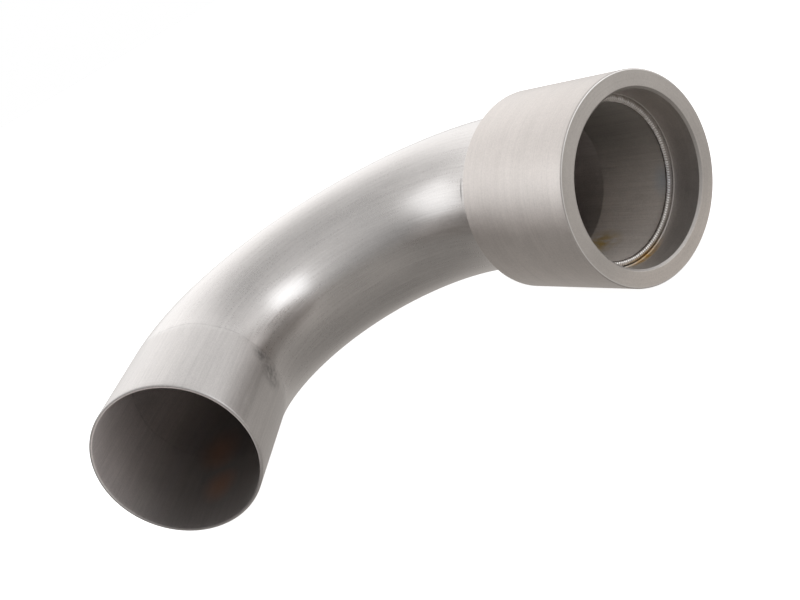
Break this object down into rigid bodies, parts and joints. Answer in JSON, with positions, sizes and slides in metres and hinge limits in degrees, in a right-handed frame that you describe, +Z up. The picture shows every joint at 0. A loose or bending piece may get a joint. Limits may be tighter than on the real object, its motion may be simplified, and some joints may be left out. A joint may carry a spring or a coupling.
{
  "type": "flue elbow",
  "caption": "Bent steel flue tube, 135 degree turn, with a plain spigot at one end and a thick turned socket collar welded on at the other.",
  "frame": {"origin": "centre of the spigot's open end, on the tube's axis", "axes": "-Y points out of the spigot, along its axis; the tube runs along +Y and bends towards +X in the plane Z = 0; +Z is up with the elbow lying on its side"},
  "size_m": [0.3083, 0.201, 0.0988],
  "materials": {
    "tube_steel": "mill finish stainless steel with fine lengthwise draw lines",
    "collar_steel": "fine turned stainless steel",
    "weld_steel": "rippled TIG bead with straw heat tint beside it"
  },
  "bodies": {
    "root": {"bent_tube": "tube_steel", "socket_collar": "collar_steel", "socket_weld": "weld_steel"}
  },
  "joints": []
}
